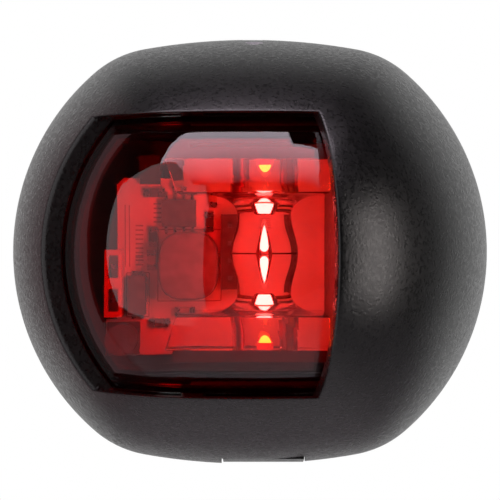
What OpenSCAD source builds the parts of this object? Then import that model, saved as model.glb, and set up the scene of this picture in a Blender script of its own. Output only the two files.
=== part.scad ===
/* [Body] */
// Width of the cover
body_w = 72; // [70:0.5:76]
// Height of the cover between its flattened top and bottom
body_h = 64.4; // [63:0.1:66]
// Depth from the wall to the front of the cover
body_d = 46; // [45:0.5:50]
// Radius of the flattened top and bottom of the outline
flat_r = 91.3; // [85:0.5:110]
// Radius that blends the round sides into the flattened top and bottom
corner_r = 15.6; // [14:0.2:18]
// Wall thickness of the cover at its front, top and bottom
cover_wall = 1.8; // [1.6:0.1:2]
// Extra wall thickness of the cover at its two ends
end_extra = 1.2; // [0.8:0.1:1.4]

/* [Window and lens] */
// Half height of the window in the cover
window_half = 19.2; // [18:0.1:19.6]
// Height above the wall at which the window's port side is cut
window_h = 23; // [22:0.5:26]
// Distance of the window's inboard cut to the right of centre, at that height
window_x = 6.1; // [5.6:0.1:6.8]
// Angle at which that cut leans away from the wall's normal
window_angle = 14.6; // [12:0.2:16]
// Wall thickness of the lens
lens_wall = 1.5; // [1.4:0.1:1.8]
// Gap between the lens and the cover that it sits under
lens_gap = 0.2; // [0.2:0.05:0.4]

/* [Light source] */
// Distance of the light's vertical axis to the right of centre
axis_x = 2; // [1:0.5:3]
// Height of the light's vertical axis above the wall
axis_h = 23; // [22.5:0.5:24]
// Radius of each light guide at its waist
waist_r = 3.8; // [3.4:0.1:4]
// Radius of each light guide where the two meet
belly_r = 4.8; // [4.4:0.1:5]
// Side of each light-emitting diode's square package
led_size = 3; // [2.8:0.1:3.5]

/* [Fixing] */
// Distance between the two mounting holes
hole_spacing = 48.8; // [48.4:0.1:49.2]
// Radius of each mounting hole
hole_r = 2.2; // [2:0.1:2.4]
// Radius of the supply cable's hole in the grommet
cable_r = 2.6; // [2:0.1:3]
// Width of the release latch
latch_w = 12; // [10:0.5:13]

/* [Hidden] */
$fn = 96;

// Outline of the cover: side arcs, corner arcs and crowned top and bottom, all meeting smoothly
half_w = body_w / 2;
half_h = body_h / 2;
flat_drop = flat_r - half_h;
corner_z = (pow(flat_r - corner_r, 2) - pow(half_w - corner_r, 2) - pow(flat_drop, 2))
    / (2 * flat_drop);
corner_x = sqrt(pow(half_w - corner_r, 2) - pow(corner_z, 2));
corner_start = atan2(corner_z, corner_x);

// Dome: side and crown exponents of its section, and the height of its rim above the wall
side_power = 2.6;
crown_power = 1.245;
rim_h = 0.4;
dome_sides = 72;
dome_rings = 16;

// Lens: where it drops straight back to the tray, and how far it reaches
lens_inset = cover_wall + lens_gap;
lens_drop_r = 28;
lens_half = window_half - 0.3;
lens_right = 17.5;
lens_back = 6.6;
lens_tab = [6, 1.5, 1.6];
lens_tab_x = [-8, 12];
lens_tab_h = 7.6;

// Base and tray levels above the wall
base_t = 3;
base_inset = 2.5;
ring_inset = 3.2;
ring_t = 1.5;
ring_top = 6.4;
tray_back = 4.6;
tray_top = 7.4;
tray_margin = 1.8;
seal_seat = 5.8;
seal_w = 2.4;
groove_w = 2.6;
groove_out = 0.3;
hole_x = -12;
head_r = 3.6;
cable_x = 24.6;
grommet_r = 4.2;
ear_pos = [22.2, 12];
ear_r = 3.2;
tray_pilot_r = 1.1;

// Driver board and what stands on it
board_back = 11;
board_t = 1.6;
board_top = board_back + board_t;
board_left = -19.3;
board_corner = -20.8;
board_right = 15.6;
board_low = -14.8;
board_high = 10.9;
board_half = 16;
board_step_x = -8.6;
screw_pos = [13.5, 9];
inductor_pos = [-8.9, -1.8];
chip_pos = [-10.4, 5.8];
suppressor_pos = [-16.4, -6.1];
capacitor_pos = [-18.3, -12.3];
terminal_pos = [-19.5, -4.3];
header_pos = [-2.9, 0.2];
header_size = [2.6, 11, 3.4];

// Light guides and the boards that hold the two light sources
flange_low = 8.3;
flange_high = 12.9;
flange_back = 14;
flange_front = 31;
flange_left = -10;
flange_slant = 1.4;
flange_right = 10.8;
waist_z = 5.6;
flare_r = 8.3;
cone_r = 0.8;
cone_z = 4.1;
pocket_r = 4.4;
pocket_depth = 4.5;
nose_r = [1.5, 0.95];
nose_z = 5.5;
led_board_t = 1.5;
led_h = 0.8;
phosphor_r = 1.3;
peg_x = 7.2;
peg_h = 26.5;
peg_r = 0.9;
screen_t = 0.7;

// Latch
latch_x = 2;
latch_axis = [-29.3, 2];
latch_pin_r = 0.7;
latch_barrel_r = 1.2;
latch_barrel_w = 6.2;
latch_lug_w = 1.6;
latch_tip = 9;
latch_gap = 0.3;

black_plastic = [0.06, 0.06, 0.065];
white_mask = [0.9, 0.9, 0.88];
clear_red = [0.8, 0.02, 0.05, 0.5];
clear_plastic = [0.95, 0.95, 0.95, 0.6];
tin = [0.75, 0.75, 0.76];

// Angle folded into the first quadrant, because the outline is the same in all four
function folded(a) = let (m = a > 180 ? 360 - a : a) m > 90 ? 180 - m : m;

// Angle at which an outline inset by s passes from its corner arc to its crowned arc
function crown_start(s) =
    let (k = (flat_r - s) / (flat_r - corner_r))
    atan2((corner_z + flat_drop) * k - flat_drop, corner_x * k);

// Distance from the centre to the outline, inset by s, at angle a
function outline_r(a, s) =
    let (f = folded(a),
         along = corner_x * cos(f) + corner_z * sin(f),
         across2 = pow(corner_x, 2) + pow(corner_z, 2) - pow(along, 2),
         drop = flat_drop * sin(f))
    f < corner_start ? half_w - s
    : f < crown_start(s) ? along + sqrt(pow(corner_r - s, 2) - across2)
    : -drop + sqrt(pow(drop, 2) - pow(flat_drop, 2) + pow(flat_r - s, 2));

// Squeeze along x that gives a surface inset by s its extra wall at the two ends
function squeeze(s) = s > 0 ? (half_w - s - end_extra) / (half_w - s) : 1;

// Height of the dome, inset by s, above the point x, z of the wall
function dome_h(x, z, s) =
    let (x1 = x / squeeze(s), u = norm([x1, z]) / outline_r((atan2(z, x1) + 360) % 360, s))
    rim_h + (body_d - rim_h - s) * pow(1 - pow(u, side_power), 1 / crown_power);

// One point of the dome, inset by s, at angle a round it and angle t down from its top
function dome_point(a, t, s) =
    let (r = pow(sin(t), 2 / side_power) * outline_r(a, s))
    [r * squeeze(s) * cos(a), r * sin(a), rim_h + (body_d - rim_h - s) * pow(cos(t), 2 / crown_power)];

// Points of one dome surface, from the rim up to its top
function dome_points(s) = concat(
    [for (j = [dome_rings:-1:1]) for (i = [0:dome_sides - 1])
        dome_point(360 * i / dome_sides, 90 * j / dome_rings, s)],
    [[0, 0, body_d - s]]);

// Faces of one dome surface whose points start at number n
function dome_faces(n) = concat(
    [for (j = [0:dome_rings - 2]) for (i = [0:dome_sides - 1])
        let (k = (i + 1) % dome_sides, low = n + j * dome_sides, up = low + dome_sides)
        each [[low + i, up + i, up + k], [low + i, up + k, low + k]]],
    [for (i = [0:dome_sides - 1])
        let (last = n + (dome_rings - 1) * dome_sides)
        [last + i, n + dome_rings * dome_sides, last + (i + 1) % dome_sides]]);

function turned(faces) = [for (f = faces) [for (i = [len(f) - 1:-1:0]) f[i]]];

// Profile of one light guide: barrel to the waist, then a flare into its flange
function guide_r(z) = z < waist_z
    ? waist_r + (belly_r - waist_r) * (1 + cos(180 * z / waist_z)) / 2
    : waist_r + (flare_r - waist_r)
        * (1 - sqrt(max(0, 1 - pow((z - waist_z) / (flange_low - waist_z), 2))));

// Drawn with x right, y up and z out from the wall, then stood on the wall, which faces -Y
module on_wall() {
    rotate([90, 0, 0]) children();
}

// A shape drawn in x and height above the wall, drawn out up and down by half each way
module upright(half) {
    rotate([90, 0, 0]) linear_extrude(2 * half, center = true) children();
}

module block(low, high) {
    translate(low) cube(high - low);
}

module post(x, z, r, low, high) {
    translate([x, z, low]) cylinder(r = r, h = high - low);
}

// A block of a given size that stands at the middle of its foot
module chip_part(size) {
    block([-size[0] / 2, -size[1] / 2, 0], [size[0] / 2, size[1] / 2, size[2]]);
}

// Solid dome, inset by s from the outside of the cover
module dome(s) {
    rim = [for (i = [0:dome_sides - 1]) i];
    polyhedron(points = dome_points(s), faces = concat([rim], dome_faces(0)));
}

// Shell between the outside of the cover and a dome inset by s
module dome_shell(s) {
    inner = dome_sides * dome_rings + 1;
    rim = [for (i = [0:dome_sides - 1])
        let (k = (i + 1) % dome_sides)
        each [[i, k, inner + k], [i, inner + k, inner + i]]];
    polyhedron(
        points = concat(dome_points(0), dome_points(s)),
        faces = concat(rim, dome_faces(0), turned(dome_faces(inner))));
}

// Flat outline of the cover, inset by s
module outline(s) {
    polygon([for (i = [0:2 * dome_sides - 1])
        let (a = 180 * i / dome_sides) outline_r(a, s) * [squeeze(s) * cos(a), sin(a)]]);
}

// Flat outline of the lens where it meets the tray, grown by e
module bay(e) {
    intersection() {
        circle(r = lens_drop_r + e);
        translate([-lens_drop_r - e, -lens_half - e])
            square([lens_drop_r + lens_right + 2 * e, 2 * (lens_half + e)]);
    }
}

// The sector that the window takes out of the cover
module window() {
    reach = 60;
    upright(window_half) polygon([
        [window_x, window_h], [window_x + reach * sin(window_angle), window_h + reach * cos(window_angle)],
        [-reach, window_h + reach], [-reach, window_h]
    ]);
}

module base_plate() {
    ledge = 8;
    catch_half = 3;
    color(black_plastic) on_wall() difference() {
        union() {
            linear_extrude(base_t) outline(base_inset);
            // Ring that the cover slides over
            difference() {
                linear_extrude(ring_top) outline(ring_inset);
                translate([0, 0, -1]) linear_extrude(ring_top + 2) outline(ring_inset + ring_t);
                for (side = [-1, 1])
                    block([hole_x - head_r - 1, side * half_h - ledge, base_t],
                        [hole_x + head_r + 1, side * half_h + ledge, ring_top + 1]);
                block([latch_x - latch_w / 2 - 1, -half_h, base_t],
                    [latch_x + latch_w / 2 + 1, 0, ring_top + 1]);
            }
            // Catch that holds the tray's port edge
            difference() {
                block([-31, -catch_half, base_t], [-28.7, catch_half, tray_top + 1.2]);
                block([-30.1, -catch_half - 1, base_t], [-28, catch_half + 1, tray_top + 0.1]);
            }
            // Pads and bosses under the tray
            for (side = [-1, 1]) {
                post(-22, side * 11, 2.4, base_t - 0.5, tray_back);
                post(ear_pos[0], side * ear_pos[1], ear_r, base_t - 0.5, tray_back);
            }
            // Lugs that the latch turns in
            for (side = [-1, 1])
                translate([latch_x + side * (latch_barrel_w + latch_lug_w + 0.2) / 2, 0, 0])
                    block([-latch_lug_w / 2, -30.5, 0.6], [latch_lug_w / 2, -27.5, 3.4]);
        }
        // Countersunk mounting holes
        for (side = [-1, 1]) translate([hole_x, side * hole_spacing / 2, 0]) {
            translate([0, 0, -1]) cylinder(r = hole_r, h = base_t + 2);
            translate([0, 0, base_t - 1.4]) cylinder(r1 = hole_r, r2 = head_r, h = 1.4);
        }
        post(cable_x, 0, grommet_r, -1, base_t + 1);
        for (side = [-1, 1])
            post(ear_pos[0], side * ear_pos[1], tray_pilot_r, 0.8, tray_back + 1);
        // Room for the latch's barrel, and the bore of its pin
        block([latch_x - latch_barrel_w / 2 - 0.1, -33, -1], [latch_x + latch_barrel_w / 2 + 0.1, -27.8, 4]);
        translate([latch_x, latch_axis[0], latch_axis[1]]) rotate([0, 90, 0])
            cylinder(r = latch_pin_r + 0.05, h = latch_w, center = true);
        // Hollows that thin the back of the plate
        difference() {
            post(0, 0, 16, -1, 1.2);
            for (x = [-12:8:12]) block([x - 0.8, -20, -1], [x + 0.8, 20, 2]);
            block([-20, -0.8, -1], [20, 0.8, 2]);
            post(0, 0, 6, -1, 2);
        }
    }
}

module cable_grommet() {
    flange_r = grommet_r + 1.2;
    color([0.1, 0.1, 0.1]) on_wall() translate([cable_x, 0, 0]) rotate_extrude() polygon([
        [cable_r, 0.3], [grommet_r, 0.3], [grommet_r, base_t], [flange_r, base_t],
        [flange_r, base_t + 0.8], [grommet_r, base_t + 1.2], [cable_r, base_t + 1.2]
    ]);
}

module module_tray() {
    clip_x = -14.5;
    clip_half = 1.45;
    color(black_plastic) on_wall() {
        difference() {
            union() {
                translate([0, 0, tray_back]) linear_extrude(tray_top - tray_back) bay(tray_margin);
                for (side = [-1, 1]) {
                    post(ear_pos[0], side * ear_pos[1], ear_r, tray_back, tray_top - 0.6);
                    block([lens_right, side * ear_pos[1] - ear_r, tray_back],
                        [ear_pos[0], side * ear_pos[1] + ear_r, tray_top - 0.6]);
                }
            }
            // Groove that the seal lies in
            translate([0, 0, seal_seat]) linear_extrude(tray_top) difference() {
                bay(groove_out);
                bay(groove_out - groove_w);
            }
            for (side = [-1, 1]) post(ear_pos[0], side * ear_pos[1], 1.5, 0, tray_top + 1);
            // Holes for the two cores of the supply cable
            for (side = [-1, 1])
                post(terminal_pos[0], terminal_pos[1] + side * 2.4, 1, 0, tray_top + 1);
        }
        // Posts under the driver board
        for (side = [-1, 1]) difference() {
            post(screw_pos[0], side * screw_pos[1], 2, tray_top, board_back);
            post(screw_pos[0], side * screw_pos[1], 0.9, tray_top + 0.4, board_back + 1);
        }
        for (z = [board_low + 2, 0, board_high - 2]) post(board_left + 4, z, 1.6, tray_top, board_back);
        // Clip over the top edge of the board
        difference() {
            block([clip_x - clip_half, board_high + 0.1, tray_top],
                [clip_x + clip_half, board_high + 3.2, board_top + 1.4]);
            block([clip_x - clip_half - 1, board_high + 1.2, board_back - 2],
                [clip_x + clip_half + 1, board_high + 1.6, board_back]);
        }
        block([clip_x - clip_half, board_high - 0.9, board_top],
            [clip_x + clip_half, board_high + 0.2, board_top + 1.4]);
    }
}

module tray_screws() {
    color(tin) on_wall() for (side = [-1, 1]) translate([ear_pos[0], side * ear_pos[1], 0])
        difference() {
            union() {
                post(0, 0, tray_pilot_r - 0.05, 1.2, tray_top);
                post(0, 0, 2.5, tray_top - 0.6, tray_top + 1);
            }
            rotate([0, 0, 35]) {
                block([-2, -0.3, tray_top + 0.2], [2, 0.3, tray_top + 2]);
                block([-0.3, -2, tray_top + 0.2], [0.3, 2, tray_top + 2]);
            }
        }
}

module lens_seal() {
    middle = groove_out - groove_w / 2;
    color([0.12, 0.12, 0.12]) on_wall() translate([0, 0, seal_seat])
        linear_extrude(lens_back - seal_seat) difference() {
            bay(middle + seal_w / 2);
            bay(middle - seal_w / 2);
        }
}

module driver_board() {
    color(white_mask) on_wall() difference() {
        translate([0, 0, board_back]) linear_extrude(board_t) polygon([
            [board_corner, board_low], [board_step_x, board_low], [board_step_x, -board_half],
            [board_right, -board_half], [board_right, board_half], [board_step_x, board_half],
            [board_step_x, board_high], [board_left + 1, board_high], [board_left, board_high - 1],
            [board_left, board_low + 5.2], [board_corner, board_low + 5.2]
        ]);
        for (side = [-1, 1]) post(screw_pos[0], side * screw_pos[1], 1.1, 0, board_top + 1);
    }
}

module board_screws() {
    color(tin) on_wall() for (side = [-1, 1]) translate([screw_pos[0], side * screw_pos[1], 0]) {
        post(0, 0, 0.85, 8, board_top + 0.2);
        difference() {
            post(0, 0, 1.7, board_top, board_top + 1.1);
            block([-1.2, -0.25, board_top + 0.5], [1.2, 0.25, board_top + 2]);
            block([-0.25, -1.2, board_top + 0.5], [0.25, 1.2, board_top + 2]);
        }
    }
}

module power_inductor() {
    core = [8.6, 9.8, 5.4];
    cut = 2.4;
    color([0.16, 0.15, 0.16]) on_wall() translate([inductor_pos[0], inductor_pos[1], board_top + 0.3]) {
        linear_extrude(core[2]) polygon([
            for (q = [[1, 1], [-1, 1], [-1, -1], [1, -1]])
                each [for (s = q[0] * q[1] > 0 ? [0, 1] : [1, 0])
                    [q[0] * (core[0] / 2 - cut * s), q[1] * (core[1] / 2 - cut * (1 - s))]]
        ]);
    }
}

module inductor_terminals() {
    color(tin) on_wall() translate([inductor_pos[0], inductor_pos[1], board_top]) for (side = [-1, 1])
        block([-2, side * 3.1 - 0.9, 0], [2, side * 3.1 + 0.9, 0.3]);
}

module driver_chip() {
    color([0.12, 0.12, 0.13]) on_wall() translate([chip_pos[0], chip_pos[1], board_top + 0.15])
        block([-2.45, -1.95, 0], [2.45, 1.95, 1.5]);
}

module chip_legs() {
    pitch = 1.27;
    color(tin) on_wall() translate([chip_pos[0], chip_pos[1], board_top])
        for (side = [-1, 1]) for (i = [-1.5:1.5]) translate([i * pitch, side * 2.5, 0]) {
            block([-0.2, -0.55, 0], [0.2, 0.55, 0.15]);
            block([-0.2, side > 0 ? -0.55 : 0.35, 0.15], [0.2, side > 0 ? -0.35 : 0.55, 0.8]);
        }
}

module surge_suppressor() {
    color([0.13, 0.12, 0.12]) on_wall() translate([suppressor_pos[0], suppressor_pos[1], board_top + 0.2])
        block([-1.2, -2.8, 0], [1.2, 2.8, 2.2]);
}

module suppressor_terminals() {
    color(tin) on_wall() translate([suppressor_pos[0], suppressor_pos[1], board_top]) for (side = [-1, 1])
        block([-0.9, side * 2.7 - 0.8, 0], [0.9, side * 2.7 + 0.8, 0.2]);
}

module input_capacitor() {
    color([0.1, 0.1, 0.11]) on_wall() translate([capacitor_pos[0], capacitor_pos[1], board_top]) {
        block([-2.3, -2.3, 0], [2.3, 2.3, 0.7]);
        post(0, 0, 2.2, 0.7, 4.6);
    }
}

module supply_terminal() {
    color([0.85, 0.3, 0.12]) on_wall() translate([terminal_pos[0], terminal_pos[1], board_top]) difference() {
        block([-1.2, -4.8, 0], [1.2, 4.8, 4.4]);
        for (side = [-1, 1]) block([-0.7, side * 2.4 - 1.6, 1.2], [0.7, side * 2.4 + 1.6, 5]);
    }
}

module terminal_pins() {
    color(tin) on_wall() translate([terminal_pos[0], terminal_pos[1], board_top + 1.2]) for (side = [-1, 1])
        block([-0.3, side * 2.4 - 0.3, 0], [0.3, side * 2.4 + 0.3, 2.6]);
}

module link_header() {
    color([0.07, 0.07, 0.07]) on_wall() translate([header_pos[0], header_pos[1], board_top])
        chip_part(header_size);
}

module header_pins() {
    pitch = 2.54;
    color(tin) on_wall() translate([header_pos[0], header_pos[1], board_top + header_size[2]])
        for (i = [-1.5:1.5]) block([-0.32, i * pitch - 0.32, 0], [0.32, i * pitch + 0.32, 0.9]);
}

// Chip parts: where each one stands, and how it is turned
resistor_places = [[-14, 8.8, 0], [-14.2, 2.4, 90], [-6, 4.6, 90], [-13.2, -10.2, 0]];
capacitor_places = [[-9.8, 9.6, 0], [-9.6, -8.6, 0], [-5.4, 8.2, 90], [-14.4, -1, 90]];

module chip_resistors() {
    color([0.15, 0.15, 0.17]) on_wall() for (p = resistor_places)
        translate([p[0], p[1], board_top]) rotate([0, 0, p[2]]) chip_part([2, 1.25, 0.5]);
}

module ceramic_capacitors() {
    color([0.6, 0.48, 0.35]) on_wall() for (p = capacitor_places)
        translate([p[0], p[1], board_top]) rotate([0, 0, p[2]]) chip_part([2, 1.25, 1.1]);
}

// Upright wall inside the lens that cuts the light off at the inboard end of its sector
module sector_screen() {
    left = flange_right + 0.15;
    half = 15.5;
    color(black_plastic) on_wall() intersection() {
        dome(lens_inset + lens_wall + 0.4);
        block([left, -half, board_top], [left + screen_t, half, body_d]);
    }
}

// Board behind one light source; side is 1 for the upper and -1 for the lower
module led_board(side) {
    low = side > 0 ? flange_high : -flange_high - led_board_t;
    color([0.08, 0.08, 0.08]) on_wall() difference() {
        block([flange_left - 0.4, low, board_top], [flange_right, low + led_board_t, flange_front - 1]);
        for (x = [-1, 1]) translate([axis_x + x * peg_x, 0, peg_h]) rotate([90, 0, 0])
            cylinder(r = peg_r + 0.1, h = 60, center = true);
    }
}

module upper_led_board() {
    led_board(1);
}

module lower_led_board() {
    led_board(-1);
}

module led_package(side) {
    low = side > 0 ? flange_high - led_h : -flange_high;
    color([0.95, 0.95, 0.93]) on_wall()
        block([axis_x - led_size / 2, low, axis_h - led_size / 2],
            [axis_x + led_size / 2, low + led_h, axis_h + led_size / 2]);
}

module upper_led() {
    led_package(1);
}

module lower_led() {
    led_package(-1);
}

// Domed phosphor that gives the light
module phosphor(side) {
    color([1, 0.9, 0.3]) on_wall() translate([axis_x, side * (flange_high - led_h), axis_h])
        rotate([side * 90, 0, 0]) intersection() {
            translate([0, 0, -0.7]) sphere(r = phosphor_r + 0.15);
            cylinder(r = phosphor_r, h = 2);
        }
}

module upper_phosphor() {
    phosphor(1);
}

module lower_phosphor() {
    phosphor(-1);
}

// Clear light guide that turns one source's light out to the horizon
module light_guide() {
    step = 0.6;
    barrel = [for (z = [0:step:flange_low - 0.01]) [guide_r(z), z]];
    difference() {
        union() {
            rotate_extrude() polygon(concat([[0, 0]], barrel,
                [[flare_r, flange_low], [flare_r, flange_low + 0.5], [0, flange_low + 0.5]]));
            rotate([90, 0, 0]) translate([0, 0, axis_h - flange_front])
                linear_extrude(flange_front - flange_back) polygon([
                    [flange_left - axis_x, flange_low], [flange_right - axis_x, flange_low],
                    [flange_right - axis_x, flange_high], [flange_left - axis_x - flange_slant, flange_high]
                ]);
            for (x = [-peg_x, peg_x]) translate([x, axis_h - peg_h, flange_high - 0.2])
                cylinder(r = peg_r, h = led_board_t);
        }
        // Hollow cone that spreads the light, and the pocket over the light source
        translate([0, 0, -0.01]) cylinder(r1 = cone_r, r2 = 0.15, h = cone_z);
        translate([0, 0, flange_high - pocket_depth]) cylinder(r = pocket_r, h = pocket_depth + 1);
        translate([0, 0, nose_z])
            cylinder(r1 = nose_r[1], r2 = nose_r[0], h = flange_high - pocket_depth + 0.01 - nose_z);
    }
}

module upper_optic() {
    color(clear_plastic) translate([axis_x, -axis_h, 0]) light_guide();
}

module lower_optic() {
    color(clear_plastic) translate([axis_x, -axis_h, 0]) mirror([0, 0, 1]) light_guide();
}

module cover() {
    post_half = 1.5;
    post_z = lens_half + 1.3;
    color(black_plastic) on_wall() difference() {
        union() {
            dome_shell(cover_wall);
            // Posts that press the lens's tabs against the tray
            for (x = lens_tab_x) for (side = [-1, 1]) translate([x, side * post_z, 0])
                block([-post_half, -0.8, lens_tab_h + lens_tab[2] + 0.1],
                    [post_half, 0.8, dome_h(x, post_z, cover_wall) + 0.7]);
        }
        window();
        // Notch round the release latch, open at the rim so that the cover slides off over it
        block([latch_x - latch_w / 2 - latch_gap, -half_h - 3, -1],
            [latch_x + latch_w / 2 + latch_gap, -27, latch_tip + latch_gap]);
        // Pry notch at the top of the rim
        block([-1.1, half_h - 0.7, -1], [1.9, half_h + 2, 1.6]);
    }
}

module lens() {
    far = 70;
    color(clear_red) on_wall() difference() {
        union() {
            intersection() {
                dome(lens_inset);
                translate([0, 0, lens_back]) linear_extrude(far) bay(0);
            }
            for (x = lens_tab_x) for (side = [-1, 1]) scale([1, side, 1])
                block([x - lens_tab[0] / 2, lens_half - 0.5, lens_tab_h],
                    [x + lens_tab[0] / 2, lens_half + lens_tab[1], lens_tab_h + lens_tab[2]]);
        }
        intersection() {
            dome(lens_inset + lens_wall);
            linear_extrude(far) bay(-lens_wall);
        }
    }
}

module release_latch() {
    pad = [
        [-31.9, 0.6], [-31.75, 2], [-31.3, 5], [-30.5, latch_tip], [-28.9, latch_tip], [-29.5, 4],
        [-30.85, 3.9], [-30.85, 0.6]
    ];
    color(black_plastic) on_wall() translate([latch_x, 0, 0]) rotate([90, 0, 90]) {
        linear_extrude(latch_w, center = true) polygon(pad);
        // Barrel, its web to the pad, and the pin that turns in the lugs
        linear_extrude(latch_barrel_w, center = true) union() {
            translate(latch_axis) circle(r = latch_barrel_r);
            polygon([[-31, 1.2], [-31, 5], [-29, 5], [-28.8, 2.6], [-29.3, 1.2]]);
        }
        translate(latch_axis) cylinder(r = latch_pin_r, h = latch_barrel_w + 2 * latch_lug_w, center = true);
    }
}

base_plate();
cable_grommet();
module_tray();
tray_screws();
lens_seal();
driver_board();
board_screws();
power_inductor();
inductor_terminals();
driver_chip();
chip_legs();
surge_suppressor();
suppressor_terminals();
input_capacitor();
supply_terminal();
terminal_pins();
chip_resistors();
ceramic_capacitors();
link_header();
header_pins();
sector_screen();
upper_led_board();
lower_led_board();
upper_led();
lower_led();
upper_phosphor();
lower_phosphor();
upper_optic();
lower_optic();
cover();
lens();
release_latch();
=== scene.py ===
"""Looks of a port navigation light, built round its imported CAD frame."""
import math

import bmesh
import bpy
from mathutils import Matrix, Vector


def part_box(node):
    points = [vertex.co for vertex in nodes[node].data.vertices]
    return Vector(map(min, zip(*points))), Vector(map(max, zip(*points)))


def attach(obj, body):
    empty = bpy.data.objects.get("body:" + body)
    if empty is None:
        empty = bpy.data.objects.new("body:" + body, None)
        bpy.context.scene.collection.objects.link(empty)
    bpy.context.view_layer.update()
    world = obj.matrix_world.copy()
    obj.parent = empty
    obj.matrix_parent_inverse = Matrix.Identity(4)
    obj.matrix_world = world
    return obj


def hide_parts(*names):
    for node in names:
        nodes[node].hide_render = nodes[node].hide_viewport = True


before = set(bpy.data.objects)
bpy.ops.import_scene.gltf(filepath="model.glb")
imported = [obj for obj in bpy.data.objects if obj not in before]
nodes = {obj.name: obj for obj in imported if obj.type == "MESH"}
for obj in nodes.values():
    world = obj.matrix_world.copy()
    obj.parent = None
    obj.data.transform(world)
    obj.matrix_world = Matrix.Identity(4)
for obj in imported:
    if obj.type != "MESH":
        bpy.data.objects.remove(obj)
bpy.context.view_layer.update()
scene = bpy.context.scene

MM = 0.001
TAU = 2 * math.pi

# ---------------------------------------------------------------- sizes, in millimetres
HALF_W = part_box("cover")[1].x / MM
HALF_H = 32.2
DEPTH = 46.0
FLAT_R = 91.3
CORNER_R = 15.6
WALL = 1.8
END_EXTRA = 1.2
RIM_H = 0.4
SIDE_POWER = 2.6
CROWN_POWER = 1.245

WINDOW_HALF = 19.2
WINDOW_H = 23.0
WINDOW_X = 6.1
WINDOW_SLOPE = math.tan(math.radians(14.6))
AXIS_X = 2.0
AXIS_H = 23.0

LENS_INSET = WALL + 0.2
LENS_WALL = 1.5
LENS_DROP_R = 28.0
LENS_HALF = WINDOW_HALF - 0.3
LENS_RIGHT = 17.5
LENS_BACK = 6.6

BOARD_TOP = -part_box("driver_board")[0].y / MM
FLANGE_LOW = 8.3
FLANGE_HIGH = 12.9
FLANGE_BACK = 14.0
FLANGE_FRONT = 31.0
FLANGE_LEFT = -10.0
FLANGE_SLANT = 1.4
FLANGE_RIGHT = 10.8
WAIST_Z = 5.6
WAIST_R = 3.8
BELLY_R = 4.8
FLARE_R = 8.3
CONE_R = 0.8
CONE_Z = 4.1
NOSE_Z = 5.5
NOSE_R = (0.95, 1.5)
POCKET_R = 4.4
POCKET_Z = 8.4

HOLD_XS = (-8, 12)
NOTCH_GAP = 0.3
NOTCH_TOP = -27.0
PRY_X = (-1.1, 1.9)
PRY_H = 1.6
PRY_DEPTH = 0.7
POST = (3.0, 1.6)
POST_BACK = 9.3
POST_OUT = 1.3
TAB = (6.0, 1.5)
TAB_H = (7.6, 9.2)

# ---------------------------------------------------------------- the dome's formula
FLAT_DROP = FLAT_R - HALF_H
CORNER_Z = ((FLAT_R - CORNER_R) ** 2 - (HALF_W - CORNER_R) ** 2 - FLAT_DROP**2) / (2 * FLAT_DROP)
CORNER_X = math.sqrt((HALF_W - CORNER_R) ** 2 - CORNER_Z**2)
CORNER_START = math.atan2(CORNER_Z, CORNER_X)


def outline_r(angle, inset):
    """Distance from the centre to the cover's outline, inset from its outside."""
    folded = abs(math.atan2(math.sin(angle), math.cos(angle)))
    folded = math.pi - folded if folded > math.pi / 2 else folded
    if folded < CORNER_START:
        return HALF_W - inset
    k = (FLAT_R - inset) / (FLAT_R - CORNER_R)
    crown_start = math.atan2((CORNER_Z + FLAT_DROP) * k - FLAT_DROP, CORNER_X * k)
    if folded < crown_start:
        along = CORNER_X * math.cos(folded) + CORNER_Z * math.sin(folded)
        return along + math.sqrt((CORNER_R - inset) ** 2 - (CORNER_X**2 + CORNER_Z**2 - along**2))
    drop = FLAT_DROP * math.sin(folded)
    return -drop + math.sqrt(drop**2 - FLAT_DROP**2 + (FLAT_R - inset) ** 2)


def edge_r(angle, inset):
    """Distance to the rim of an inset surface, which has an extra wall at its two ends."""
    squeeze = (HALF_W - inset - END_EXTRA) / (HALF_W - inset) if inset else 1.0
    x, z = math.cos(angle) / squeeze, math.sin(angle)
    return outline_r(math.atan2(z, x), inset) / math.hypot(x, z)


def dome_height(r, angle, inset):
    """Height of the dome above the wall at distance r from its axis."""
    u = min(1.0, r / edge_r(angle, inset))
    return RIM_H + (DEPTH - RIM_H - inset) * (1 - u**SIDE_POWER) ** (1 / CROWN_POWER)


def dome_path(r0, r1, angle, inset, count):
    """Points (r, height) down the dome from distance r0 to r1, spaced for its curve."""
    edge = edge_r(angle, inset)
    t0, t1 = (math.asin(min(1.0, (r / edge)) ** (SIDE_POWER / 2)) for r in (r0, r1))
    path = []
    for i in range(count):
        t = t0 + (t1 - t0) * i / (count - 1)
        path.append((
            edge * math.sin(t) ** (2 / SIDE_POWER),
            RIM_H + (DEPTH - RIM_H - inset) * max(0.0, math.cos(t)) ** (2 / CROWN_POWER),
        ))
    return path


# ---------------------------------------------------------------- paths and meshes
def lengths(path):
    """How far along the path each of its points lies."""
    total = [0.0]
    for a, b in zip(path, path[1:]):
        total.append(total[-1] + math.dist(a, b))
    return total


def resampled(path, count, cut_start=0.0, cut_end=0.0):
    """The path at even steps, without its first cut_start and its last cut_end millimetres."""
    total = lengths(path)
    low, high = cut_start, total[-1] - cut_end
    out, k = [], 0
    for i in range(count):
        at = low + (high - low) * i / (count - 1)
        while k < len(total) - 2 and total[k + 1] < at:
            k += 1
        f = (at - total[k]) / max(1e-9, total[k + 1] - total[k])
        out.append(tuple(a + (b - a) * f for a, b in zip(path[k], path[k + 1])))
    return out


def rounded_corner(before, corner, after, count):
    """Points between before and after that round the corner, without the two ends."""
    out = []
    for i in range(1, count + 1):
        t = i / (count + 1)
        out.append(tuple(
            (1 - t) ** 2 * a + 2 * t * (1 - t) * b + t * t * c for a, b, c in zip(before, corner, after)
        ))
    return out


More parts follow.
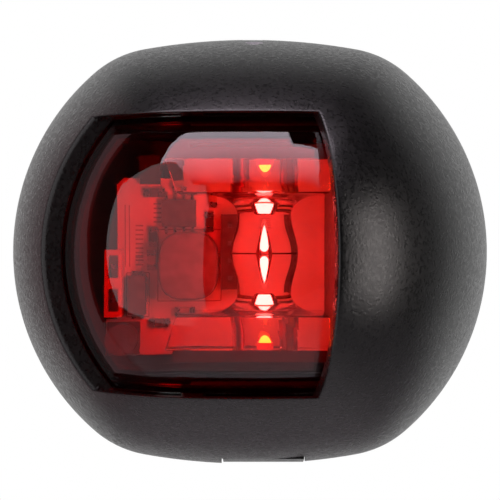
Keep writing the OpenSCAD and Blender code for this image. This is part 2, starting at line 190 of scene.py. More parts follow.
def section(parts, radii, counts, closed=True):
    """One closed outline from parts that meet end to start, each corner rounded by its radius."""
    trimmed = []
    for i, part in enumerate(parts):
        start = radii[i - 1] if i or closed else 0.0
        end = radii[i] if i < len(parts) - 1 or closed else 0.0
        trimmed.append(resampled(part, counts[i], start, end))
    points = []
    for i, part in enumerate(trimmed):
        points += part
        if i < len(trimmed) - 1 or closed:
            following = trimmed[(i + 1) % len(trimmed)]
            points += rounded_corner(part[-1], parts[i][-1], following[0], 5)
    return points


def mesh_object(name, vertices, faces, scale=MM):
    """A new object from points in millimetres, or in metres with a scale of 1."""
    mesh = bpy.data.meshes.new(name)
    mesh.from_pydata([Vector(v) * scale for v in vertices], [], faces)
    mesh.validate()
    obj = bpy.data.objects.new(name, mesh)
    scene.collection.objects.link(obj)
    return obj


def band_faces(levels, count):
    """Faces between levels of count points each."""
    return [
        (k * count + i, k * count + (i + 1) % count, (k + 1) * count + (i + 1) % count, (k + 1) * count + i)
        for k in range(levels - 1) for i in range(count)
    ]


def smooth(obj, angle=35):
    """Smooth shading, with the edges sharper than angle left crisp."""
    work = bmesh.new()
    work.from_mesh(obj.data)
    bmesh.ops.recalc_face_normals(work, faces=work.faces)
    for face in work.faces:
        face.smooth = True
    for edge in work.edges:
        edge.smooth = len(edge.link_faces) == 2 and edge.calc_face_angle(0) < math.radians(angle)
    work.to_mesh(obj.data)
    work.free()
    return obj


def out_of_wall(angle, r, height):
    """A point at an angle round the light's centre and a height above the wall."""
    return (r * math.cos(angle), -height, r * math.sin(angle))


def applied(obj, kind, **settings):
    """Adds a modifier and makes it part of the mesh."""
    modifier = obj.modifiers.new(kind.lower(), kind)
    for key, value in settings.items():
        setattr(modifier, key, value)
    bpy.context.view_layer.objects.active = obj
    bpy.ops.object.select_all(action="DESELECT")
    obj.select_set(True)
    bpy.ops.object.modifier_apply(modifier=modifier.name)
    return obj


def combined(obj, other, operation):
    """Adds other to obj or cuts it out, and removes other."""
    applied(obj, "BOOLEAN", object=other, operation=operation, solver="EXACT")
    bpy.data.objects.remove(other)
    return obj


def box_object(name, low, high):
    """A closed box in x, height above the wall and z, in millimetres."""
    (x0, h0, z0), (x1, h1, z1) = low, high
    corners = [(x, -h, z) for z in (z0, z1) for h in (h0, h1) for x in (x0, x1)]
    faces = [(0, 1, 3, 2), (4, 6, 7, 5), (0, 4, 5, 1), (2, 3, 7, 6), (0, 2, 6, 4), (1, 5, 7, 3)]
    return smooth(mesh_object(name, corners, faces), 30)


def bevelled(obj, width, segments=3, angle=30):
    """A bevel modifier on the sharp edges."""
    modifier = obj.modifiers.new("bevel", "BEVEL")
    modifier.width = width * MM
    modifier.segments = segments
    modifier.limit_method = "ANGLE"
    modifier.angle_limit = math.radians(angle)
    modifier.harden_normals = True
    return obj


def joined(name, objects):
    """One object that holds all the objects' meshes."""
    bpy.ops.object.select_all(action="DESELECT")
    for obj in objects:
        obj.select_set(True)
    bpy.context.view_layer.objects.active = objects[0]
    bpy.ops.object.join()
    objects[0].name = name
    objects[0].data.name = name
    return objects[0]


# ---------------------------------------------------------------- materials
class Shader:
    """A Principled material with a short way to add nodes to it."""

    def __init__(self, name, color, roughness, **inputs):
        self.material = bpy.data.materials.new(name)
        self.material.use_nodes = True
        self.tree = self.material.node_tree
        self.main = self.tree.nodes["Principled BSDF"]
        self.output = self.tree.nodes["Material Output"]
        self.main.inputs["Base Color"].default_value = (*color, 1)
        self.main.inputs["Roughness"].default_value = roughness
        for key, value in inputs.items():
            self.main.inputs[key.replace("_", " ")].default_value = value
        self.bumps = None
        self.place = self.tree.nodes.new("ShaderNodeTexCoord").outputs["Object"]

    def node(self, kind, **inputs):
        made = self.tree.nodes.new(kind)
        for key, value in inputs.items():
            made.inputs[key.replace("_", " ")].default_value = value
        return made

    def link(self, source, target):
        self.tree.links.new(source, target)

    def noise(self, size_mm, detail=3.0, roughness=0.55):
        made = self.node("ShaderNodeTexNoise", Scale=1 / (size_mm * MM), Detail=detail, Roughness=roughness)
        self.link(self.place, made.inputs["Vector"])
        return made.outputs["Fac"]

    def ramp(self, source, low, high, at=(0.35, 0.65)):
        made = self.tree.nodes.new("ShaderNodeMapRange")
        for key, value in zip(("From Min", "From Max", "To Min", "To Max"), (*at, low, high)):
            made.inputs[key].default_value = value
        self.link(source, made.inputs["Value"])
        return made.outputs["Result"]

    def tint(self, source, dark, light, at=(0.35, 0.65)):
        made = self.tree.nodes.new("ShaderNodeValToRGB")
        for stop, place, color in zip(made.color_ramp.elements, at, (dark, light)):
            stop.position = place
            stop.color = (*color, 1)
        self.link(source, made.inputs["Fac"])
        self.link(made.outputs["Color"], self.main.inputs["Base Color"])
        return self

    def rough(self, source, low, high, at=(0.35, 0.65)):
        self.link(self.ramp(source, low, high, at), self.main.inputs["Roughness"])
        return self

    def bump(self, source, height_mm, strength=1.0):
        made = self.node("ShaderNodeBump", Strength=strength, Distance=height_mm * MM)
        self.link(source, made.inputs["Height"])
        if self.bumps is not None:
            self.link(self.bumps, made.inputs["Normal"])
        self.bumps = made.outputs["Normal"]
        self.link(self.bumps, self.main.inputs["Normal"])
        return self


def black_abs():
    """Black moulded plastic with a fine spark-eroded grain."""
    s = Shader("black_abs", (0.006, 0.006, 0.0061), 0.3)
    s.tint(s.noise(4.0), (0.0042, 0.0042, 0.0043), (0.0072, 0.007, 0.007))
    s.rough(s.noise(0.6), 0.24, 0.36)
    s.bump(s.noise(0.42, 2.0), 0.05, 0.9)
    s.bump(s.noise(0.16, 1.0), 0.02, 0.8)
    return s.material


def inner_black():
    """Smoother black plastic of the tray and base."""
    s = Shader("inner_black", (0.04, 0.04, 0.041), 0.4)
    s.tint(s.noise(3.0), (0.03, 0.03, 0.031), (0.05, 0.05, 0.051))
    s.rough(s.noise(0.8), 0.36, 0.5)
    s.bump(s.noise(0.25, 2.0), 0.012, 0.7)
    return s.material


def red_glass():
    """Red polycarbonate. Lamps reach through it by way of a tinted clear stand-in."""
    s = Shader("red_lens", (1.0, 1.0, 1.0), 0.015, Transmission_Weight=1.0, IOR=1.5)
    s.bump(s.noise(6.0, 1.0), 0.01, 0.15)
    return lamp_lets_through(s, (0.9, 0.03, 0.04), (0.977, 0.056, 0.093), 2500)


def clear_glass():
    """Clear acrylic of the light guides."""
    s = Shader("clear_optic", (1.0, 1.0, 1.0), 0.03, Transmission_Weight=0.97, IOR=1.49)
    s.bump(s.noise(3.0, 1.0), 0.01, 0.2)
    return lamp_lets_through(s, (0.92, 0.92, 0.92), (0.9, 0.92, 0.92), 8)


def lamp_lets_through(s, shadow, kept, density):
    """Volume Absorption inside, and a clear stand-in for rays from lamps."""
    absorb = s.node("ShaderNodeVolumeAbsorption", Density=float(density))
    absorb.inputs["Color"].default_value = (*kept, 1)
    s.link(absorb.outputs["Volume"], s.output.inputs["Volume"])
    clear = s.node("ShaderNodeBsdfTransparent")
    clear.inputs["Color"].default_value = (*shadow, 1)
    path = s.tree.nodes.new("ShaderNodeLightPath")
    mix = s.tree.nodes.new("ShaderNodeMixShader")
    s.link(path.outputs["Is Shadow Ray"], mix.inputs["Fac"])
    s.link(s.main.outputs["BSDF"], mix.inputs[1])
    s.link(clear.outputs["BSDF"], mix.inputs[2])
    s.link(mix.outputs["Shader"], s.output.inputs["Surface"])
    return s.material


def plastic(name, dark, light, roughness, grain_mm=0.4, depth_mm=0.01):
    """A moulded plastic, ferrite or epoxy with some variation in tone and gloss."""
    s = Shader(name, light, roughness)
    s.tint(s.noise(grain_mm * 6), dark, light)
    s.rough(s.noise(grain_mm * 3), roughness * 0.85, roughness * 1.15)
    s.bump(s.noise(grain_mm, 2.0), depth_mm, 0.7)
    return s.material


def metal(name, color, roughness):
    """Tinned, plated or bare metal with some variation in tone and gloss."""
    s = Shader(name, color, roughness, Metallic=1.0)
    s.tint(s.noise(1.5), tuple(0.85 * c for c in color), color)
    s.rough(s.noise(0.4), roughness * 0.7, roughness * 1.4)
    s.bump(s.noise(0.2, 2.0), 0.004, 0.6)
    return s.material


def lit(name, color, strength):
    """A surface that gives light: the lit phosphor, and also the painted glints in the guides' hollows."""
    s = Shader(name, (0.9, 0.8, 0.4), 0.4)
    s.main.inputs["Emission Color"].default_value = (*color, 1)
    s.main.inputs["Emission Strength"].default_value = strength
    s.tint(s.noise(0.8), (0.85, 0.7, 0.3), (0.95, 0.85, 0.5))
    s.bump(s.noise(0.3), 0.01, 0.5)
    return s.material


def white_board():
    """White solder mask with a faint weave of the glass cloth below."""
    s = Shader("white_board", (0.85, 0.85, 0.82), 0.35)
    s.tint(s.noise(5.0), (0.74, 0.74, 0.71), (0.86, 0.86, 0.83))
    s.rough(s.noise(0.7), 0.28, 0.42)
    s.bump(s.noise(0.5, 2.0), 0.01, 0.6)
    return s.material


MATERIALS = {
    "cover": black_abs(),
    "inner": inner_black(),
    "lens": red_glass(),
    "optic": clear_glass(),
    "board": white_board(),
    "ferrite": plastic("ferrite", (0.13, 0.125, 0.13), (0.19, 0.18, 0.19), 0.5, 0.3, 0.02),
    "epoxy": plastic("dark_epoxy", (0.09, 0.085, 0.085), (0.13, 0.125, 0.125), 0.5, 0.2, 0.012),
    "orange": plastic("orange_nylon", (0.62, 0.16, 0.05), (0.78, 0.22, 0.07), 0.4, 0.5, 0.01),
    "tan": plastic("tan_ceramic", (0.45, 0.33, 0.22), (0.58, 0.45, 0.32), 0.5, 0.2, 0.008),
    "rubber": plastic("black_rubber", (0.018, 0.018, 0.018), (0.03, 0.03, 0.03), 0.7, 0.5, 0.02),
    "package": plastic("white_package", (0.8, 0.8, 0.77), (0.92, 0.92, 0.9), 0.4, 0.3, 0.005),
    "ink": plastic("grey_ink", (0.32, 0.32, 0.32), (0.42, 0.42, 0.42), 0.6, 0.3, 0.004),
    "tin": metal("tin", (0.75, 0.75, 0.76), 0.3),
    "dull_tin": metal("dull_tin", (0.3, 0.3, 0.31), 0.55),
    "steel": metal("steel", (0.6, 0.6, 0.61), 0.28),
    "copper": metal("copper", (0.72, 0.36, 0.2), 0.35),
    "dark_board": plastic("dark_board", (0.03, 0.03, 0.033), (0.05, 0.05, 0.055), 0.35, 0.4, 0.008),
    "scuff": plastic("scuffed_gate", (0.2, 0.2, 0.21), (0.34, 0.34, 0.35), 0.6, 0.25, 0.03),
    "phosphor": lit("lit_phosphor", (0.6, 1.0, 0.06), 44),
    # painted glint: the guides' hollows glow though they are no lamp, in place of the source's light seen in
    # them
    "painted_glint": lit("painted_glint_fill", (0.35, 1.0, 0.78), 42),
}


def finish(obj, key, body=None, stands_for=()):
    """Gives a piece its material and body, and hides the nodes that it replaces."""
    obj.data.materials.clear()
    obj.data.materials.append(MATERIALS[key])
    if body:
        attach(obj, body)
    for node in stands_for:
        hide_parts(node)
    return obj


# ---------------------------------------------------------------- cover
def window_floor(r, angle):
    """Height at which the window's cut passes a point at distance r from the centre."""
    x = r * math.cos(angle)
    return WINDOW_H + max(0.0, x - WINDOW_X) / WINDOW_SLOPE


def window_edge(angle, inset):
    """Distance and height at which a dome surface, inset by inset, meets the window's cut."""
    side = WINDOW_HALF / max(1e-6, abs(math.sin(angle)))
    low, high = 0.0, min(side, edge_r(angle, inset))
    if side < edge_r(angle, inset) and dome_height(side, angle, inset) > window_floor(side, angle):
        return side, dome_height(side, angle, inset)
    for _ in range(60):
        mid = (low + high) / 2
        if dome_height(mid, angle, inset) > window_floor(mid, angle):
            low = mid
        else:
            high = mid
    return low, dome_height(low, angle, inset)


def cover_section(angle):
    """The cover's closed outline at an angle: outside, window cut, inside and rim."""
    outer = window_edge(angle, 0)
    inner = window_edge(angle, WALL)
    side = WINDOW_HALF / max(1e-6, abs(math.sin(angle)))
    cut = [outer, inner]
    if outer[0] > side - 1e-4 and inner[0] < side - 1e-4:
        cut = [outer, (side, window_floor(side, angle)), inner]
    rim_out = edge_r(angle, 0)
    rim_in = edge_r(angle, WALL)
    return section(
        [
            dome_path(rim_out, outer[0], angle, 0, 160),
            cut,
            dome_path(inner[0], rim_in, angle, WALL, 120),
            [(rim_in, RIM_H), (rim_out, RIM_H)],
        ],
        [0.6, 0.2, 0.2, 0.25], [64, 10, 36, 5],
    )


def window_corners():
    """Angles at which two of the window's edges meet on the outside and the inside of the cover."""
    found = []
    for sign in (1, -1):
        for start, end in ((100, 170), (5, 89)):
            for inset in (0, WALL):
                low, high = math.radians(start), math.radians(end)

                def on_side(a):
                    side = WINDOW_HALF / math.sin(a)
                    return (side < edge_r(a, inset)
                            and dome_height(side, a, inset) > window_floor(side, a))

                state = on_side(low)
                for _ in range(40):
                    mid = (low + high) / 2
                    if on_side(mid) == state:
                        low = mid
                    else:
                        high = mid
                found.append(sign * low)
    return found


def spaced_angles(count, wanted):
    """Even angles all round, the nearest ones moved onto the wanted angles."""
    angles = [TAU * i / count - math.pi for i in range(count)]
    for w in wanted:
        nearest = min(range(count), key=lambda i: abs(angles[i] - w))
        angles[nearest] = w
    return sorted(angles)


def ring_mesh(name, sections, angles):
    """A closed surface through sections that all have the same number of points."""
    n, m = len(sections), len(sections[0])
    vertices = [out_of_wall(a, *p) for a, points in zip(angles, sections) for p in points]
    faces = [
        (i * m + j, i * m + (j + 1) % m, (i + 1) % n * m + (j + 1) % m, (i + 1) % n * m + j)
        for i in range(n) for j in range(m)
    ]
    return mesh_object(name, vertices, faces)


def make_cover():
    """The domed shell with its window, latch notch, pry notch and the posts that press on the lens."""
    angles = spaced_angles(360, window_corners())
    shell = smooth(ring_mesh("cover_shell", [cover_section(a) for a in angles], angles), 32)
    latch_low, latch_high = (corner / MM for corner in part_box("release_latch"))
    notch = box_object(
        "notch", (latch_low.x - NOTCH_GAP, -1, -HALF_H - 3),
        (latch_high.x + NOTCH_GAP, -latch_low.y + NOTCH_GAP, NOTCH_TOP))
    combined(shell, notch, "DIFFERENCE")
    pry = box_object("pry", (PRY_X[0], -1, HALF_H - PRY_DEPTH), (PRY_X[1], PRY_H, HALF_H + 2))
    combined(shell, pry, "DIFFERENCE")
    posts = []
    w, l = POST
    for x in HOLD_XS:
        for side in (-1, 1):
            z = side * (LENS_HALF + POST_OUT)
            top = dome_height(math.hypot(x, z), math.atan2(z, x), WALL) + 0.7
            posts.append(box_object(
                "post", (x - w / 2, POST_BACK, z - l / 2), (x + w / 2, top, z + l / 2)))
    cover = joined("cover_shell", [shell] + posts)
    smooth(cover, 32)
    return finish(cover, "cover", "cover", ["cover"])


# ---------------------------------------------------------------- lens
def lens_limit(angle, inset):
    """Distance from the centre to the lens's side at an angle."""
    limit = LENS_DROP_R - inset
    if abs(math.sin(angle)) > 1e-6:
        limit = min(limit, (LENS_HALF - inset) / abs(math.sin(angle)))
    if math.cos(angle) > 1e-6:
        limit = min(limit, (LENS_RIGHT - inset) / math.cos(angle))
    return limit


def lens_section(angle):
    """The lens's outline at an angle, from its outside round its edge to its inside."""
    outer, inner = lens_limit(angle, 0), lens_limit(angle, LENS_WALL)
    outer_h = dome_height(outer, angle, LENS_INSET)
    inner_h = dome_height(inner, angle, LENS_INSET + LENS_WALL)
    return section(
        [
            dome_path(0.05, outer, angle, LENS_INSET, 160),
            [(outer, outer_h), (outer, LENS_BACK)],
            [(outer, LENS_BACK), (inner, LENS_BACK)],
            [(inner, LENS_BACK), (inner, inner_h)],
            dome_path(inner, 0.05, angle, LENS_INSET + LENS_WALL, 160),
        ],
        [0.7, 0.15, 0.15, 0.8, 0], [64, 12, 4, 12, 60], closed=False,
    )


def make_lens():
    """The red lens, open behind, with its four tabs."""
    corners = []
    for inset in (0, LENS_WALL):
        half, drop, right = LENS_HALF - inset, LENS_DROP_R - inset, LENS_RIGHT - inset
        for sign in (1, -1):
            corners += [sign * (math.pi - math.asin(half / drop)), sign * math.atan2(half, right)]
    angles = spaced_angles(360, corners)
    sections = [lens_section(a) for a in angles]
    n, m = len(sections), len(sections[0])
    vertices = [out_of_wall(a, *p) for a, points in zip(angles, sections) for p in points]
    faces = [
        (i * m + j, i * m + j + 1, (i + 1) % n * m + j + 1, (i + 1) % n * m + j)
        for i in range(n) for j in range(m - 1)
    ]
    faces.append([i * m for i in range(n)])
    faces.append([i * m + m - 1 for i in range(n)])
    body = mesh_object("lens_body", vertices, faces)
    tabs = []
    w, out = TAB
    for x in HOLD_XS:
        for side in (-1, 1):
            ends = sorted((side * (LENS_HALF + 0.02), side * (LENS_HALF + 0.02) + side * out))
            tabs.append(box_object("tab", (x - w / 2, TAB_H[0], ends[0]), (x + w / 2, TAB_H[1], ends[1])))
    lens = smooth(joined("lens_body", [body] + tabs), 32)
    return finish(lens, "lens", "cover", ["lens"])


# ---------------------------------------------------------------- light guides
def guide_r(z):
    """Radius of a light guide: a belly at mid-height, a waist, and a flare up to its flange."""
    if z < WAIST_Z:
        return WAIST_R + (BELLY_R - WAIST_R) * (1 + math.cos(math.pi * z / WAIST_Z)) / 2
    rise = (z - WAIST_Z) / (FLANGE_LOW - WAIST_Z)
    return WAIST_R + (FLARE_R - WAIST_R) * (1 - math.sqrt(max(0.0, 1 - rise**2)))


def turned(name, profile, count=96):
    """A closed solid turned round the guides' axis from (r, z) points that start and end on it."""
    inner = profile[1:-1]
    vertices = [(AXIS_X, -AXIS_H, profile[0][1]), (AXIS_X, -AXIS_H, profile[-1][1])]
    for i in range(count):
        a = TAU * i / count
        vertices += [(AXIS_X + r * math.cos(a), -AXIS_H + r * math.sin(a), z) for r, z in inner]
    m, faces = len(inner), []
    for i in range(count):
        k = (i + 1) % count
        faces.append((0, 2 + k * m, 2 + i * m))
        faces.append((1, 2 + i * m + m - 1, 2 + k * m + m - 1))
        faces += [(2 + i * m + j, 2 + k * m + j, 2 + k * m + j + 1, 2 + i * m + j + 1) for j in range(m - 1)]
    return smooth(mesh_object(name, vertices, faces), 35)


def mirrored_down(obj, side):
    """The object as it is for the upper guide, and upside down for the lower one."""
    if side < 0:
        obj.data.transform(Matrix.Scale(-1, 4, (0, 0, 1)))
    return obj


def make_optic(name, side):
    """A clear guide and its flange, with the pocket and nose over its light source and the cone."""
    rings, overlap = 40, 0.5
    barrel = []
    for i in range(rings + 1):
        z = FLANGE_LOW * (1 - (1 - i / rings) ** 1.6)
        barrel.append((guide_r(z), z))
    guide = turned(name, [(0, 0)] + barrel + [(FLARE_R, FLANGE_LOW + overlap), (0, FLANGE_LOW + overlap)])
    x0, x1 = FLANGE_LEFT, FLANGE_RIGHT
    corners = []
    for h in (FLANGE_BACK, FLANGE_FRONT):
        corners += [
            (x0, -h, FLANGE_LOW), (x1, -h, FLANGE_LOW),
            (x1, -h, FLANGE_HIGH), (x0 - FLANGE_SLANT, -h, FLANGE_HIGH),
        ]
    flange = mesh_object("flange", corners, [
        (0, 1, 2, 3), (7, 6, 5, 4), (0, 4, 5, 1), (1, 5, 6, 2), (2, 6, 7, 3), (3, 7, 4, 0)])
    applied(smooth(flange), "BEVEL", width=0.35 * MM, segments=3)
    combined(guide, flange, "UNION")
    hollow = turned("hollow", [
        (0, NOSE_Z), (NOSE_R[0] * 0.8, NOSE_Z), (NOSE_R[0], NOSE_Z + 0.2), (NOSE_R[1], POCKET_Z),
        (POCKET_R - 0.3, POCKET_Z), (POCKET_R, POCKET_Z + 0.3), (POCKET_R, FLANGE_HIGH + 1),
        (0, FLANGE_HIGH + 1)])
    combined(guide, hollow, "DIFFERENCE")
    cone = turned("cone", [(0, -0.5), (CONE_R, -0.5), (CONE_R, 0), (0.15, CONE_Z - 0.1), (0, CONE_Z)])
    combined(guide, cone, "DIFFERENCE")
    return smooth(mirrored_down(guide, side), 28)


def make_painted_glint(name, side):
    """Painted glints: glowing fillings in the guide's two hollows. They are no lamp and stand in for the lit
    source's light seen in them.
    """
    gap = 0.07
    drop = turned(name, [(0, 0.3), (0.3, 0.34), (0.58, 0.6), (0.6, 1.0), (0.44, 2.0), (0.16, 3.3), (0, 3.75)])
    top = 8.1
    wide = NOSE_R[0] + (top - NOSE_Z) / (POCKET_Z - NOSE_Z) * (NOSE_R[1] - NOSE_R[0]) - gap
    cup = turned("cup", [(0, NOSE_Z + gap), (NOSE_R[0] * 0.75 - gap, NOSE_Z + gap),
                         (NOSE_R[0] - gap, NOSE_Z + 0.3), (wide, top - 0.1), (wide - 0.1, top), (0, top)])
    both = joined(name, [drop, cup])
    smooth(mirrored_down(both, side), 35)
    both.visible_diffuse = False
    return finish(both, "painted_glint", "base")


# ---------------------------------------------------------------- small parts on the board
def islands(obj):
    """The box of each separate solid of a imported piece, in x, height above the wall and z."""
    work = bmesh.new()
    work.from_mesh(obj.data)
    left, boxes = set(work.verts), []
    while left:
        ring, seen = [left.pop()], []
        while ring:
            vert = ring.pop()
            seen.append((vert.co.x / MM, -vert.co.y / MM, vert.co.z / MM))
            for edge in vert.link_edges:
                other = edge.other_vert(vert)
                if other in left:
                    left.remove(other)
                    ring.append(other)
        boxes.append((tuple(map(min, zip(*seen))), tuple(map(max, zip(*seen)))))
    work.free()
    return boxes


def chip_ends(name):
    """Tinned end caps on chip parts, with the solder that runs out from them."""
    cap, out, pad_out, pad_in, pad_h, made = 0.34, 0.02, 0.5, 0.2, 0.12, []
    for low, high in islands(nodes[name]):
        axis = 0 if high[0] - low[0] > high[2] - low[2] else 2
        for sign in (-1, 1):
            a, b = list(low), list(high)
            for k in range(3):
                a[k], b[k] = low[k] - out, high[k] + out
            a[1] = low[1]
            pad_a, pad_b = list(a), list(b)
            if sign < 0:
                b[axis] = low[axis] + cap
                pad_a[axis], pad_b[axis] = low[axis] - pad_out, low[axis] + pad_in
            else:
                a[axis] = high[axis] - cap
                pad_a[axis], pad_b[axis] = high[axis] - pad_in, high[axis] + pad_out
            pad_b[1] = low[1] + pad_h
            made += [box_object("cap", a, b), box_object("pad", pad_a, pad_b)]
    piece = bevelled(joined(name + "_ends", made), 0.05, 2)
    return finish(piece, "tin", "base")


def make_inductor():
    """A drum core: a round-cornered foot and head, and the winding between them."""
    low, high = (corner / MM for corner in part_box("power_inductor"))
    cx, cz = (low.x + high.x) / 2, (low.z + high.z) / 2
    half_x, half_z = (high.x - low.x) / 2, (high.z - low.z) / 2
    foot, head = -high.y, -low.y
    foot_t, head_t, core_in, count = 1.0, 1.3, 1.3, 72

    def body(name, levels, power):
        """A stack of rounded outlines, each a height above the wall and a distance in from the sides."""
        vertices = []
        for h, inset in levels:
            for i in range(count):
                a = TAU * i / count
                c, d = math.cos(a), math.sin(a)
                r = (abs(c) ** power + abs(d) ** power) ** (-1 / power)
                vertices.append((cx + (half_x - inset) * r * c, -h, cz + (half_z - inset) * r * d))
        faces = band_faces(len(levels), count)
        faces += [tuple(range(count)), tuple(range((len(levels) - 1) * count, len(levels) * count))]
        return smooth(mesh_object(name, vertices, faces), 25)

    foot_top, head_back = foot + foot_t, head - head_t
    core = body("inductor_core", [
        (foot, 0.15), (foot + 0.15, 0), (foot_top - 0.1, 0), (foot_top, 0.1), (foot_top, core_in),
        (head_back, core_in), (head_back, 0.1), (head_back + 0.1, 0), (head - 0.45, 0),
        (head - 0.12, 0.22), (head, 0.6)], 3.0)
    finish(core, "ferrite", "base", ["power_inductor"])
    turns, steps, levels = 6, 5, []
    wound_in, wire = 0.75, 0.22
    start, end = foot_top + 0.05, head_back - 0.05
    for i in range(turns):
        for j in range(steps):
            t = (i + j / steps) / turns
            levels.append((start + (end - start) * t, wound_in - wire * math.sin(math.pi * j / steps)))
    buried = core_in - 0.02
    levels = [(start, buried)] + levels + [(end, wound_in), (end, buried)]
    finish(body("inductor_winding", levels, 2.6), "copper", "base")


def board_print():
    """Part outlines, two lines and rows of plain bars printed on the board."""
    line, bar, pitch, made = 0.16, (1.1, 0.22), 0.66, []

    def stroke(x, z, w, l):
        made.append(box_object(
            "stroke", (x - w / 2, BOARD_TOP - 0.01, z - l / 2), (x + w / 2, BOARD_TOP + 0.02, z + l / 2)))

    def outline(name, margin):
        low, high = (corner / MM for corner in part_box(name))
        x, z = (low.x + high.x) / 2, (low.z + high.z) / 2
        w, l = high.x - low.x + 2 * margin, high.z - low.z + 2 * margin
        for side in (-1, 1):
            stroke(x + side * w / 2, z, line, l)
            stroke(x, z + side * l / 2, w, line)

    outline("power_inductor", 0.35)
    outline("surge_suppressor", 0.4)
    for x, z, count in ((-13.6, 7.2, 5), (-16.2, 4.0, 8), (-16.2, -0.4, 3), (2.0, 4.0, 5)):
        for i in range(count):
            stroke(x, z - pitch * i, *bar)
    for x in (-17.6, -18.2):
        stroke(x, 2.5, line, 9.0)
    return finish(joined("board_print", made), "ink", "base")


def gate_mark():
    """Scuffed witness mark where the cover's moulding gate was cut off."""
    count, vertices = 24, []
    rings = (0.0, 0.55, 1.0)
    middle_x, middle_z = 0.6, 31.15
    half_w, half_l = 1.5, 0.42
    for ring in rings:
        for i in range(count):
            a = TAU * i / count
            wobble = 1 + 0.14 * math.sin(3 * a) + 0.1 * math.sin(5 * a + 1)
            x = middle_x + half_w * ring * wobble * math.cos(a)
            z = middle_z + half_l * ring * wobble * math.sin(a)
            lift = 0.03 if ring < 1 else -0.02
            vertices.append((x, -dome_height(math.hypot(x, z), math.atan2(z, x), 0) - lift, z))
    mark = mesh_object("gate_mark", vertices, band_faces(len(rings), count))
    return finish(smooth(mark, 60), "scuff", "cover")


# ---------------------------------------------------------------- camera, lights and floor
CAMERA_DISTANCE = 0.300
CAMERA_RISE = 0.0035
CAMERA_AIM = Vector((0, 0, 0.0003))
FOCAL_MM = 141.912
SENSOR_MM = 36.0
FLOOR_Z = -0.45
CEILING_Z = 0.5
LEFT_X = -0.4


def make_camera():
    """A long lens straight in front of the light, a little above it."""
    data = bpy.data.cameras.new("camera")
    data.sensor_width = SENSOR_MM
    data.lens = FOCAL_MM
    data.clip_start = 0.01
    obj = bpy.data.objects.new("camera", data)
    scene.collection.objects.link(obj)
    obj.location = (0, -CAMERA_DISTANCE, CAMERA_RISE)
    obj.rotation_euler = (CAMERA_AIM - obj.location).to_track_quat("-Z", "Y").to_euler()
    scene.camera = obj


def soft_box(name, place, target, size, radiance, color=(1, 1, 1)):
    """A rectangular lamp of a given radiance."""
    data = bpy.data.lights.new(name, "AREA")
    data.shape = "RECTANGLE"
    data.size, data.size_y = size
    data.color = color
    data.energy = radiance * size[0] * size[1] * math.pi
    obj = bpy.data.objects.new(name, data)
    scene.collection.objects.link(obj)
    obj.location = place
    obj.rotation_euler = (Vector(target) - Vector(place)).to_track_quat("-Z", "Y").to_euler()
    obj.visible_camera = False
    return obj


def soft_panel(name, corners, radiance, color, fade=None):
    """A flat glowing panel with any outline, unseen by the camera, that may fade out along Y."""
    panel = mesh_object(name, corners, [tuple(range(len(corners)))], 1)
    s = Shader(name, (0.0, 0.0, 0.0), 1.0, Specular_IOR_Level=0.0, Emission_Strength=float(radiance))
    s.main.inputs["Emission Color"].default_value = (*color, 1)
    if fade:
        split = s.node("ShaderNodeSeparateXYZ")
        s.link(s.place, split.inputs["Vector"])
        s.link(s.ramp(split.outputs["Y"], 0.0, float(radiance), fade), s.main.inputs["Emission Strength"])
    panel.data.materials.append(s.material)
    panel.visible_camera = False


def inner_lamp(name, place, power, radius, color=(1.0, 0.14, 0.1)):
    """A small lamp that gives the light that the light guides throw about inside the lens."""
    data = bpy.data.lights.new(name, "POINT")
    data.energy = power
    data.color = color
    data.shadow_soft_size = radius * MM
    obj = bpy.data.objects.new(name, data)
    scene.collection.objects.link(obj)
    obj.location = Vector(place) * MM
    obj.visible_camera = False
    obj.visible_glossy = False
    obj.visible_transmission = False


def make_world():
    """White behind the light, dim in front of it and above it, and plain white to the camera."""
    world = bpy.data.worlds.new("studio")
    scene.world = world
    world.use_nodes = True
    tree = world.node_tree
    tree.nodes.clear()
    place = tree.nodes.new("ShaderNodeTexCoord")
    split = tree.nodes.new("ShaderNodeSeparateXYZ")
    tree.links.new(place.outputs["Generated"], split.inputs["Vector"])
    both = tree.nodes.new("ShaderNodeMath")
    both.operation = "MULTIPLY"
    for k, (axis, limits) in enumerate((("Y", (0.5, 0.95, 0.02, 0.95)), ("Z", (0.35, 0.7, 1.0, 0.12)))):
        step = tree.nodes.new("ShaderNodeMapRange")
        step.interpolation_type = "SMOOTHSTEP"
        for key, value in zip(("From Min", "From Max", "To Min", "To Max"), limits):
            step.inputs[key].default_value = value
        tree.links.new(split.outputs[axis], step.inputs["Value"])
        tree.links.new(step.outputs["Result"], both.inputs[k])
    around = tree.nodes.new("ShaderNodeBackground")
    tree.links.new(both.outputs["Value"], around.inputs["Strength"])
    seen = tree.nodes.new("ShaderNodeBackground")
    seen.inputs["Color"].default_value = (1, 1, 1, 1)
    path = tree.nodes.new("ShaderNodeLightPath")
    mix = tree.nodes.new("ShaderNodeMixShader")
    output = tree.nodes.new("ShaderNodeOutputWorld")
    tree.links.new(path.outputs["Is Camera Ray"], mix.inputs["Fac"])
    tree.links.new(around.outputs["Background"], mix.inputs[1])
    tree.links.new(seen.outputs["Background"], mix.inputs[2])
    tree.links.new(mix.outputs["Shader"], output.inputs["Surface"])


def make_floor():
    """A pale floor well below the light."""
    corners = [(x, y, FLOOR_Z) for x, y in ((-1, -1), (1, -1), (1, 1), (-1, 1))]
    floor = mesh_object("floor", corners, [(0, 1, 2, 3)], 1)
    s = Shader("pale_floor", (0.82, 0.82, 0.82), 0.6)
    s.tint(s.noise(60.0), (0.8, 0.8, 0.8), (0.84, 0.84, 0.84))
    floor.data.materials.append(s.material)


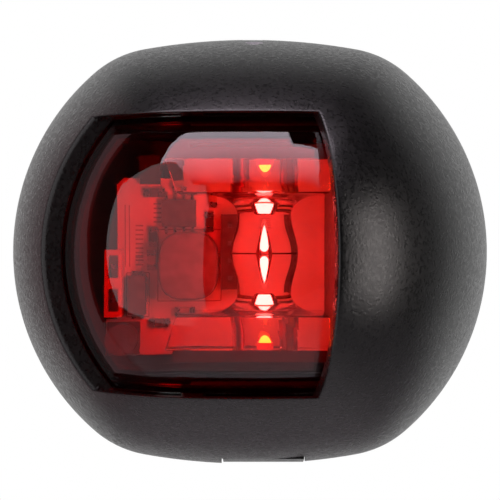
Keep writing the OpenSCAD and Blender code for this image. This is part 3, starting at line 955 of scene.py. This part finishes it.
make_camera()
make_world()
make_floor()
scene.view_settings.view_transform = "Standard"
soft_box("right_box", (0.5, -0.14, 0.0), (0, -0.14, 0), (0.28, 0.4), 3.2, (1.0, 0.92, 0.9))
soft_panel("top_panel", [(x, y, CEILING_Z) for x, y in (
    (-0.6, -0.05), (-0.5, 0.0), (-0.25, 0.05), (-0.05, 0.12), (0.06, 0.12), (0.08, 0.0), (0.3, -0.05),
    (0.6, -0.45), (-0.6, -0.45))], 4.2, (1.0, 0.86, 0.98), (-0.42, -0.06))
soft_panel("left_panel", [(LEFT_X, y, z) for y, z in (
    (0.1, 0.2), (0.07, -0.15), (-0.07, -0.25), (-0.7, -0.65), (-1.0, 0.0), (-0.75, 1.2), (0.0, 0.35))],
    0.9, (1.0, 0.94, 0.97))
soft_panel("left_strip", [(LEFT_X, y, z) for y, z in (
    (0.25, -0.5), (0.2, 0.0), (0.35, 0.5), (0.6, 0.5), (0.6, -0.5))], 0.24, (1.0, 0.62, 0.68))
inner_lamp("guide_lamp_up", (AXIS_X - 1, -37, 5), 0.0075, 1.5)
inner_lamp("guide_lamp_down", (AXIS_X - 1, -37, -5), 0.0075, 1.5)
inner_lamp("board_lamp", (-4, -33, 0), 0.008, 2.0)
inner_lamp("rim_lamp", (-22, -27, -6), 0.0006, 2.0)
inner_lamp("nose_lamp_up", (AXIS_X, -AXIS_H, 8.8), 0.0004, 0.5, (1.0, 0.6, 0.4))
inner_lamp("nose_lamp_down", (AXIS_X, -AXIS_H, -8.8), 0.0004, 0.5, (1.0, 0.6, 0.4))

make_cover()
make_lens()
finish(make_optic("upper_guide", 1), "optic", "base", ["upper_optic"])
finish(make_optic("lower_guide", -1), "optic", "base", ["lower_optic"])
# painted glints that fill the guides' hollows
make_painted_glint("upper_painted_glint", 1)
make_painted_glint("lower_painted_glint", -1)
make_inductor()
chip_ends("chip_resistors")
chip_ends("ceramic_capacitors")
board_print()
gate_mark()

PLAIN = {
    "base_plate": ("inner", 0.25), "cable_grommet": ("rubber", 0.25), "module_tray": ("inner", 0.25),
    "tray_screws": ("steel", 0.12), "lens_seal": ("rubber", 0.1), "driver_board": ("board", 0.08),
    "board_screws": ("steel", 0.1), "inductor_terminals": ("tin", 0.06),
    "driver_chip": ("epoxy", 0.12), "chip_legs": ("tin", 0.04),
    "surge_suppressor": ("epoxy", 0.12), "suppressor_terminals": ("tin", 0.05),
    "input_capacitor": ("epoxy", 0.3), "supply_terminal": ("orange", 0.12), "terminal_pins": ("tin", 0.06),
    "chip_resistors": ("epoxy", 0.05), "ceramic_capacitors": ("tan", 0.08),
    "upper_led_board": ("dark_board", 0.08), "lower_led_board": ("dark_board", 0.08),
    "upper_led": ("package", 0.1), "lower_led": ("package", 0.1),
    "upper_phosphor": ("phosphor", 0.1), "lower_phosphor": ("phosphor", 0.1),
    "link_header": ("epoxy", 0.12), "header_pins": ("dull_tin", 0.08), "sector_screen": ("inner", 0.08),
    "release_latch": ("cover", 0.2),
}
for name, (key, width) in PLAIN.items():
    part = nodes[name]
    part.data.materials.clear()
    part.data.materials.append(MATERIALS[key])
    bevelled(part, width)
